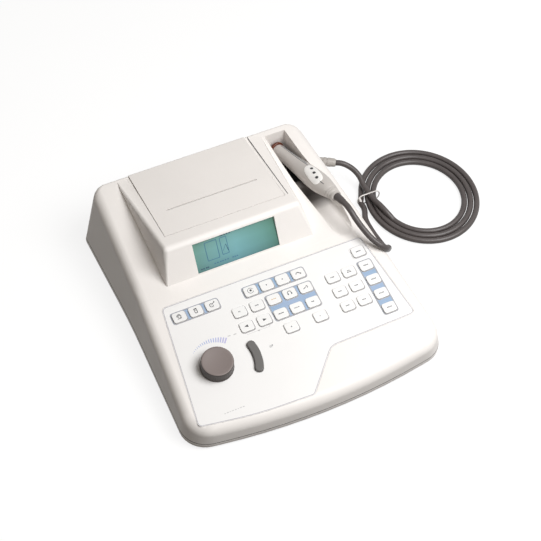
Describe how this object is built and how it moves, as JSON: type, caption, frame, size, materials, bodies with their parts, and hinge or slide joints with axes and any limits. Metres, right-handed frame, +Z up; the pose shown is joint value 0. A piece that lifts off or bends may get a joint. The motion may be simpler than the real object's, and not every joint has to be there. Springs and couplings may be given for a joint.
{
  "type": "tympanometer",
  "caption": "Desktop tympanometer: wedge-shaped case with printer and display housing, key panel, turning control, and a hand-held probe on its cord in a cradle.",
  "frame": {"origin": "middle of the case on the table", "axes": "+Z up, +Y to the rear, +X to the user's right"},
  "size_m": [0.4601, 0.3363, 0.0969],
  "materials": {
    "housing": "fine textured moulding",
    "base": "fine textured moulding",
    "panel_film": "printed film",
    "key_plastic": "satin",
    "control": "satin",
    "bar": "satin",
    "lens": "clear coated",
    "steel": "brushed",
    "laminate": "coated circuit board",
    "zinc": "zinc plated",
    "printer_plastic": "matt",
    "roller_rubber": "ground",
    "thermal_paper": "smooth",
    "inlet_plastic": "matt",
    "plug_plastic": "satin",
    "probe_plastic": "satin",
    "cuff_rubber": "soft",
    "cord_jacket": "smooth jacket",
    "tie_plastic": "plain",
    "foot_rubber": "matt"
  },
  "bodies": {
    "case": {"top_shell": "housing", "base_pan": "base", "keypad_overlay": "panel_film", "display_lens": "lens", "display_module": "steel", "key_board": "laminate", "main_board": "laminate", "pressure_pump": "zinc", "printer_frame": "printer_plastic", "print_head": "zinc", "power_inlet": "inlet_plastic", "probe_socket": "plug_plastic", "probe_plug": "plug_plastic", "cord_socket_side": "cord_jacket", "cord_coil": "cord_jacket", "cord_probe_side": "cord_jacket", "cord_tie": "tie_plastic", "foot_front_left": "foot_rubber", "foot_front_right": "foot_rubber", "foot_rear_left": "foot_rubber", "foot_rear_right": "foot_rubber"},
    "knob": {"knob": "control"},
    "present_bar": {"present_bar": "bar"},
    "printer_door": {"printer_door": "housing"},
    "platen": {"platen_roller": "roller_rubber"},
    "paper": {"paper_roll": "thermal_paper"},
    "power_switch": {"power_switch": "inlet_plastic"},
    "probe": {"probe_body": "probe_plastic", "probe_tip": "cuff_rubber", "probe_relief": "cord_jacket"},
    "key_mode_1": {"key_mode_1": "key_plastic"},
    "key_mode_2": {"key_mode_2": "key_plastic"},
    "key_mode_3": {"key_mode_3": "key_plastic"},
    "key_test_1": {"key_test_1": "key_plastic"},
    "key_test_2": {"key_test_2": "key_plastic"},
    "key_test_3": {"key_test_3": "key_plastic"},
    "key_test_4": {"key_test_4": "key_plastic"},
    "key_set_1": {"key_set_1": "key_plastic"},
    "key_set_2": {"key_set_2": "key_plastic"},
    "key_set_3": {"key_set_3": "key_plastic"},
    "key_set_4": {"key_set_4": "key_plastic"},
    "key_set_5": {"key_set_5": "key_plastic"},
    "key_set_6": {"key_set_6": "key_plastic"},
    "key_store_1": {"key_store_1": "key_plastic"},
    "key_store_2": {"key_store_2": "key_plastic"},
    "key_store_3": {"key_store_3": "key_plastic"},
    "key_store_4": {"key_store_4": "key_plastic"},
    "key_store_5": {"key_store_5": "key_plastic"},
    "key_select_1": {"key_select_1": "key_plastic"},
    "key_select_2": {"key_select_2": "key_plastic"},
    "key_select_3": {"key_select_3": "key_plastic"},
    "key_select_4": {"key_select_4": "key_plastic"},
    "key_select_5": {"key_select_5": "key_plastic"},
    "key_select_6": {"key_select_6": "key_plastic"},
    "key_step_1": {"key_step_1": "key_plastic"},
    "key_step_2": {"key_step_2": "key_plastic"},
    "key_step_3": {"key_step_3": "key_plastic"},
    "key_step_4": {"key_step_4": "key_plastic"},
    "key_page_1": {"key_page_1": "key_plastic"},
    "key_page_2": {"key_page_2": "key_plastic"}
  },
  "joints": [
    {"name": "key_mode_1_press", "type": "slide", "parent": "case", "child": "key_mode_1", "axis": [0, 0.1628, -0.9867], "range_m": [0, 0.0008], "stiffness_N_per_m": 600, "springref_m": -0.0005},
    {"name": "key_mode_2_press", "type": "slide", "parent": "case", "child": "key_mode_2", "axis": [0, 0.1628, -0.9867], "range_m": [0, 0.0008], "stiffness_N_per_m": 600, "springref_m": -0.0005},
    {"name": "key_mode_3_press", "type": "slide", "parent": "case", "child": "key_mode_3", "axis": [0, 0.1628, -0.9867], "range_m": [0, 0.0008], "stiffness_N_per_m": 600, "springref_m": -0.0005},
    {"name": "key_test_1_press", "type": "slide", "parent": "case", "child": "key_test_1", "axis": [0, 0.1628, -0.9867], "range_m": [0, 0.0008], "stiffness_N_per_m": 600, "springref_m": -0.0005},
    {"name": "key_test_2_press", "type": "slide", "parent": "case", "child": "key_test_2", "axis": [0, 0.1628, -0.9867], "range_m": [0, 0.0008], "stiffness_N_per_m": 600, "springref_m": -0.0005},
    {"name": "key_test_3_press", "type": "slide", "parent": "case", "child": "key_test_3", "axis": [0, 0.1628, -0.9867], "range_m": [0, 0.0008], "stiffness_N_per_m": 600, "springref_m": -0.0005},
    {"name": "key_test_4_press", "type": "slide", "parent": "case", "child": "key_test_4", "axis": [0, 0.1628, -0.9867], "range_m": [0, 0.0008], "stiffness_N_per_m": 600, "springref_m": -0.0005},
    {"name": "key_set_1_press", "type": "slide", "parent": "case", "child": "key_set_1", "axis": [0, 0.1628, -0.9867], "range_m": [0, 0.0008], "stiffness_N_per_m": 600, "springref_m": -0.0005},
    {"name": "key_set_2_press", "type": "slide", "parent": "case", "child": "key_set_2", "axis": [0, 0.1628, -0.9867], "range_m": [0, 0.0008], "stiffness_N_per_m": 600, "springref_m": -0.0005},
    {"name": "key_set_3_press", "type": "slide", "parent": "case", "child": "key_set_3", "axis": [0, 0.1628, -0.9867], "range_m": [0, 0.0008], "stiffness_N_per_m": 600, "springref_m": -0.0005},
    {"name": "key_set_4_press", "type": "slide", "parent": "case", "child": "key_set_4", "axis": [0, 0.1628, -0.9867], "range_m": [0, 0.0008], "stiffness_N_per_m": 600, "springref_m": -0.0005},
    {"name": "key_set_5_press", "type": "slide", "parent": "case", "child": "key_set_5", "axis": [0, 0.1628, -0.9867], "range_m": [0, 0.0008], "stiffness_N_per_m": 600, "springref_m": -0.0005},
    {"name": "key_set_6_press", "type": "slide", "parent": "case", "child": "key_set_6", "axis": [0, 0.1628, -0.9867], "range_m": [0, 0.0008], "stiffness_N_per_m": 600, "springref_m": -0.0005},
    {"name": "key_store_1_press", "type": "slide", "parent": "case", "child": "key_store_1", "axis": [0, 0.1628, -0.9867], "range_m": [0, 0.0008], "stiffness_N_per_m": 600, "springref_m": -0.0005},
    {"name": "key_store_2_press", "type": "slide", "parent": "case", "child": "key_store_2", "axis": [0, 0.1628, -0.9867], "range_m": [0, 0.0008], "stiffness_N_per_m": 600, "springref_m": -0.0005},
    {"name": "key_store_3_press", "type": "slide", "parent": "case", "child": "key_store_3", "axis": [0, 0.1628, -0.9867], "range_m": [0, 0.0008], "stiffness_N_per_m": 600, "springref_m": -0.0005},
    {"name": "key_store_4_press", "type": "slide", "parent": "case", "child": "key_store_4", "axis": [0, 0.1628, -0.9867], "range_m": [0, 0.0008], "stiffness_N_per_m": 600, "springref_m": -0.0005},
    {"name": "key_store_5_press", "type": "slide", "parent": "case", "child": "key_store_5", "axis": [0, 0.1628, -0.9867], "range_m": [0, 0.0008], "stiffness_N_per_m": 600, "springref_m": -0.0005},
    {"name": "key_select_1_press", "type": "slide", "parent": "case", "child": "key_select_1", "axis": [0, 0.1628, -0.9867], "range_m": [0, 0.0008], "stiffness_N_per_m": 600, "springref_m": -0.0005},
    {"name": "key_select_2_press", "type": "slide", "parent": "case", "child": "key_select_2", "axis": [0, 0.1628, -0.9867], "range_m": [0, 0.0008], "stiffness_N_per_m": 600, "springref_m": -0.0005},
    {"name": "key_select_3_press", "type": "slide", "parent": "case", "child": "key_select_3", "axis": [0, 0.1628, -0.9867], "range_m": [0, 0.0008], "stiffness_N_per_m": 600, "springref_m": -0.0005},
    {"name": "key_select_4_press", "type": "slide", "parent": "case", "child": "key_select_4", "axis": [0, 0.1628, -0.9867], "range_m": [0, 0.0008], "stiffness_N_per_m": 600, "springref_m": -0.0005},
    {"name": "key_select_5_press", "type": "slide", "parent": "case", "child": "key_select_5", "axis": [0, 0.1628, -0.9867], "range_m": [0, 0.0008], "stiffness_N_per_m": 600, "springref_m": -0.0005},
    {"name": "key_select_6_press", "type": "slide", "parent": "case", "child": "key_select_6", "axis": [0, 0.1628, -0.9867], "range_m": [0, 0.0008], "stiffness_N_per_m": 600, "springref_m": -0.0005},
    {"name": "key_step_1_press", "type": "slide", "parent": "case", "child": "key_step_1", "axis": [0, 0.1628, -0.9867], "range_m": [0, 0.0008], "stiffness_N_per_m": 600, "springref_m": -0.0005},
    {"name": "key_step_2_press", "type": "slide", "parent": "case", "child": "key_step_2", "axis": [0, 0.1628, -0.9867], "range_m": [0, 0.0008], "stiffness_N_per_m": 600, "springref_m": -0.0005},
    {"name": "key_step_3_press", "type": "slide", "parent": "case", "child": "key_step_3", "axis": [0, 0.1628, -0.9867], "range_m": [0, 0.0008], "stiffness_N_per_m": 600, "springref_m": -0.0005},
    {"name": "key_step_4_press", "type": "slide", "parent": "case", "child": "key_step_4", "axis": [0, 0.1628, -0.9867], "range_m": [0, 0.0008], "stiffness_N_per_m": 600, "springref_m": -0.0005},
    {"name": "key_page_1_press", "type": "slide", "parent": "case", "child": "key_page_1", "axis": [0, 0.1628, -0.9867], "range_m": [0, 0.0008], "stiffness_N_per_m": 600, "springref_m": -0.0005},
    {"name": "key_page_2_press", "type": "slide", "parent": "case", "child": "key_page_2", "axis": [0, 0.1628, -0.9867], "range_m": [0, 0.0008], "stiffness_N_per_m": 600, "springref_m": -0.0005},
    {"name": "bar_press", "type": "slide", "parent": "case", "child": "present_bar", "axis": [0, 0.1628, -0.9867], "range_m": [0, 0.0008], "stiffness_N_per_m": 600, "springref_m": -0.0005},
    {"name": "knob_turn", "type": "hinge", "parent": "case", "child": "knob", "pos_m": [-0.0925, -0.09028, 0.04083], "axis": [0, -0.1628, 0.9867], "continuous": true},
    {"name": "door_hinge", "type": "hinge", "parent": "case", "child": "printer_door", "pos_m": [0, 0.1636, 0.07575], "axis": [-1, 0, 0], "range_deg": [0, 95]},
    {"name": "paper_spin", "type": "hinge", "parent": "case", "child": "paper", "pos_m": [-0.017, 0.122, 0.0513], "axis": [1, 0, 0], "continuous": true},
    {"name": "platen_spin", "type": "hinge", "parent": "case", "child": "platen", "pos_m": [-0.017, 0.086, 0.07744], "axis": [1, 0, 0], "continuous": true},
    {"name": "switch_rock", "type": "hinge", "parent": "case", "child": "power_switch", "pos_m": [-0.096, 0.1629, 0.032], "axis": [1, 0, 0], "range_deg": [0, 16]},
    {"name": "probe_lift", "type": "slide", "parent": "case", "child": "probe", "axis": [0, 0, 1], "range_m": [0, 0.04]}
  ],
  "couplings": [
    {"joint": "platen_spin", "follows": "paper_spin", "ratio": -3.5}
  ]
}
